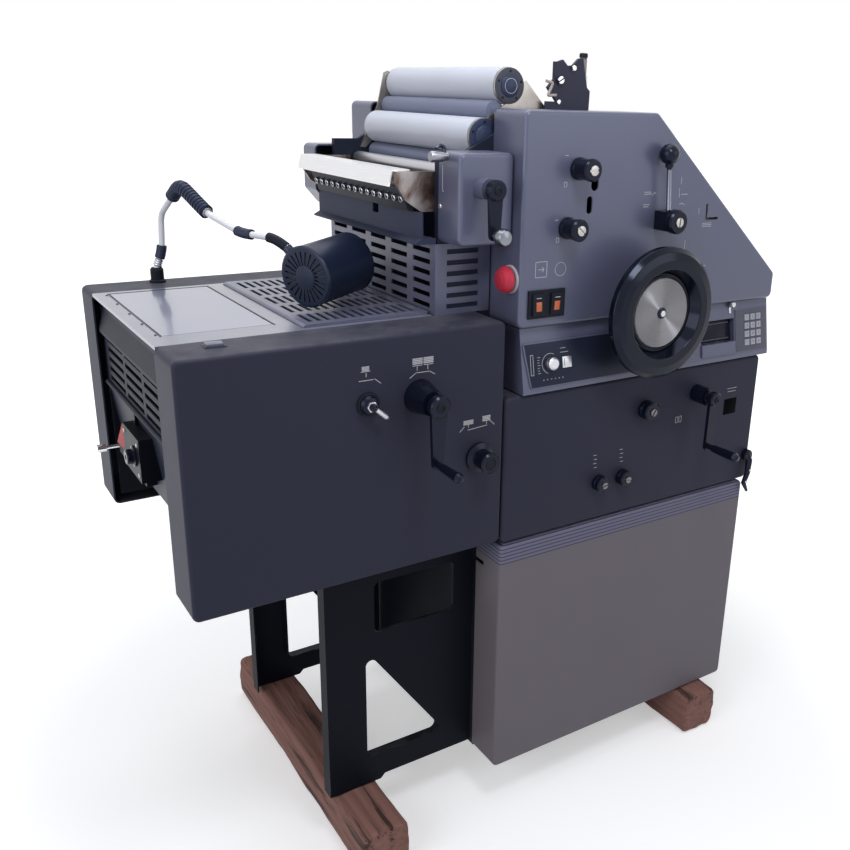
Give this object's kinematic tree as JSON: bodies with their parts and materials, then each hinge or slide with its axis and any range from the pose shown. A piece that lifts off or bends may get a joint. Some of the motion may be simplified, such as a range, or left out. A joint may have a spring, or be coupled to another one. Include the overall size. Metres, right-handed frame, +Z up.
{
  "type": "small offset printing press",
  "caption": "Sheet-fed offset press on a steel stand and timbers, with a covered delivery unit, an inking head with rollers, a side handwheel, hand cranks, knobs and a bent-arm lamp.",
  "frame": {"origin": "centre of the bounding box's footprint, on the floor under the timbers", "axes": "+X runs right along the control side, +Y goes to the back, +Z is up; the delivery unit is at -X"},
  "size_m": [1.3464, 0.83, 1.543],
  "materials": {
    "cover_paint": "dark blue-grey fine texture, semi-matt",
    "frame_paint": "black, satin",
    "door_paint": "warm light grey, satin, dark stripes along the top",
    "timber": "rough sawn, weathered",
    "roller_rubber": "smooth, grey",
    "bare_steel": "plain, ink stained",
    "plated_steel": "bright plated",
    "black_plastic": "moulded, polished by use",
    "key_plastic": "grey keys",
    "red_plastic": "red, moulded",
    "window_sheet": "smoked sheet",
    "lamp_enamel": "black gloss"
  },
  "bodies": {
    "press": {"timber_skid_left": "timber", "timber_skid_right": "timber", "stand_near_frame": "frame_paint", "stand_far_frame": "frame_paint", "cabinet_body": "frame_paint", "cabinet_door": "door_paint", "cabinet_far_door": "door_paint", "main_far_cover": "cover_paint", "keypad": "key_plastic", "power_switches": "black_plastic", "delivery_far_cover": "cover_paint", "delivery_deck": "cover_paint", "deck_window": "window_sheet", "deck_grille": "cover_paint", "delivery_end_grille": "cover_paint", "delivery_chute": "frame_paint", "delivery_stop": "black_plastic", "stop_tab": "red_plastic", "stop_screw": "plated_steel", "head_far_cover": "cover_paint", "head_vents": "cover_paint", "head_front_plate": "cover_paint", "ink_fountain": "bare_steel", "fountain_keys": "plated_steel", "fountain_guard": "plated_steel", "roller_brackets": "bare_steel", "lever_plates": "frame_paint", "plate_post": "key_plastic", "main_hood": "frame_paint", "feed_table": "bare_steel", "lamp_shade": "lamp_enamel", "lamp_arm": "lamp_enamel", "main_side_frames": "frame_paint", "main_upper_cover": "cover_paint", "main_lower_cover": "cover_paint", "control_strip": "cover_paint", "delivery_near_cover": "cover_paint", "head_near_cover": "cover_paint"},
    "handwheel": {"handwheel": "black_plastic", "handwheel_disc": "plated_steel"},
    "top_roller": {"top_roller": "roller_rubber"},
    "rider_roller_high": {"rider_roller_high": "bare_steel"},
    "middle_roller": {"middle_roller": "roller_rubber"},
    "rider_roller_low": {"rider_roller_low": "bare_steel"},
    "fountain_roller": {"fountain_roller": "plated_steel"},
    "upper_knob": {"upper_knob": "black_plastic"},
    "form_knob": {"form_knob": "black_plastic"},
    "centre_knob": {"centre_knob": "black_plastic"},
    "lower_knob_left": {"lower_knob_left": "black_plastic"},
    "lower_knob_right": {"lower_knob_right": "black_plastic"},
    "delivery_knob": {"delivery_knob": "black_plastic"},
    "speed_knob": {"speed_knob": "plated_steel"},
    "control_lever": {"control_lever": "black_plastic"},
    "delivery_crank": {"delivery_crank": "black_plastic"},
    "feeder_crank": {"feeder_crank": "black_plastic"},
    "head_crank": {"head_crank": "black_plastic"},
    "delivery_toggle": {"delivery_toggle": "plated_steel"},
    "stop_button": {"stop_button": "red_plastic"}
  },
  "joints": [
    {"name": "handwheel_turn", "type": "hinge", "parent": "press", "child": "handwheel", "pos_m": [0.25618, -0.269, 1.079], "axis": [0, -1, 0], "continuous": true},
    {"name": "top_roller_turn", "type": "hinge", "parent": "press", "child": "top_roller", "pos_m": [0.01118, 0.052, 1.48], "axis": [0, -1, 0], "continuous": true},
    {"name": "rider_roller_high_turn", "type": "hinge", "parent": "press", "child": "rider_roller_high", "pos_m": [-0.01482, 0.052, 1.4365], "axis": [0, -1, 0], "continuous": true},
    {"name": "middle_roller_turn", "type": "hinge", "parent": "press", "child": "middle_roller", "pos_m": [-0.04082, 0.052, 1.393], "axis": [0, -1, 0], "continuous": true},
    {"name": "rider_roller_low_turn", "type": "hinge", "parent": "press", "child": "rider_roller_low", "pos_m": [-0.04682, 0.052, 1.344], "axis": [0, -1, 0], "continuous": true},
    {"name": "fountain_roller_turn", "type": "hinge", "parent": "press", "child": "fountain_roller", "pos_m": [-0.08682, 0.052, 1.327], "axis": [0, -1, 0], "continuous": true},
    {"name": "upper_knob_turn", "type": "hinge", "parent": "press", "child": "upper_knob", "pos_m": [0.09218, -0.269, 1.344], "axis": [0, -1, 0], "range_deg": [-135, 135]},
    {"name": "form_knob_turn", "type": "hinge", "parent": "press", "child": "form_knob", "pos_m": [0.07218, -0.269, 1.24], "axis": [0, -1, 0], "range_deg": [-135, 135]},
    {"name": "centre_knob_turn", "type": "hinge", "parent": "press", "child": "centre_knob", "pos_m": [0.30218, -0.269, 0.857], "axis": [0, -1, 0], "range_deg": [-135, 135]},
    {"name": "lower_knob_left_turn", "type": "hinge", "parent": "press", "child": "lower_knob_left", "pos_m": [0.18718, -0.269, 0.717], "axis": [0, -1, 0], "range_deg": [-135, 135]},
    {"name": "lower_knob_right_turn", "type": "hinge", "parent": "press", "child": "lower_knob_right", "pos_m": [0.25018, -0.269, 0.717], "axis": [0, -1, 0], "range_deg": [-135, 135]},
    {"name": "delivery_knob_turn", "type": "hinge", "parent": "press", "child": "delivery_knob", "pos_m": [-0.10682, -0.269, 0.83], "axis": [0, -1, 0], "range_deg": [-135, 135]},
    {"name": "speed_knob_turn", "type": "hinge", "parent": "press", "child": "speed_knob", "pos_m": [0.04818, -0.27007, 0.98883], "axis": [0, -0.9852, 0.1713], "range_deg": [-135, 135]},
    {"name": "control_lever_turn", "type": "hinge", "parent": "press", "child": "control_lever", "pos_m": [0.30118, -0.269, 1.246], "axis": [0, -1, 0], "range_deg": [-35, 35]},
    {"name": "delivery_crank_turn", "type": "hinge", "parent": "press", "child": "delivery_crank", "pos_m": [-0.23082, -0.269, 0.966], "axis": [0, -1, 0], "continuous": true},
    {"name": "feeder_crank_turn", "type": "hinge", "parent": "press", "child": "feeder_crank", "pos_m": [0.44718, -0.269, 0.871], "axis": [0, -1, 0], "continuous": true},
    {"name": "head_crank_turn", "type": "hinge", "parent": "press", "child": "head_crank", "pos_m": [-0.09482, -0.242, 1.312], "axis": [0, -1, 0], "continuous": true},
    {"name": "delivery_toggle_turn", "type": "hinge", "parent": "press", "child": "delivery_toggle", "pos_m": [-0.32982, -0.269, 0.967], "axis": [0, -1, 0], "range_deg": [-60, 60]},
    {"name": "stop_button_press", "type": "slide", "parent": "press", "child": "stop_button", "axis": [1, 0, 0], "range_m": [0, 0.004]}
  ],
  "couplings": [
    {"joint": "top_roller_turn", "follows": "handwheel_turn", "ratio": 2.5781},
    {"joint": "rider_roller_high_turn", "follows": "handwheel_turn", "ratio": -4.5136},
    {"joint": "middle_roller_turn", "follows": "handwheel_turn", "ratio": 2.5781},
    {"joint": "rider_roller_low_turn", "follows": "handwheel_turn", "ratio": -4.8627},
    {"joint": "fountain_roller_turn", "follows": "handwheel_turn", "ratio": 5.5}
  ]
}
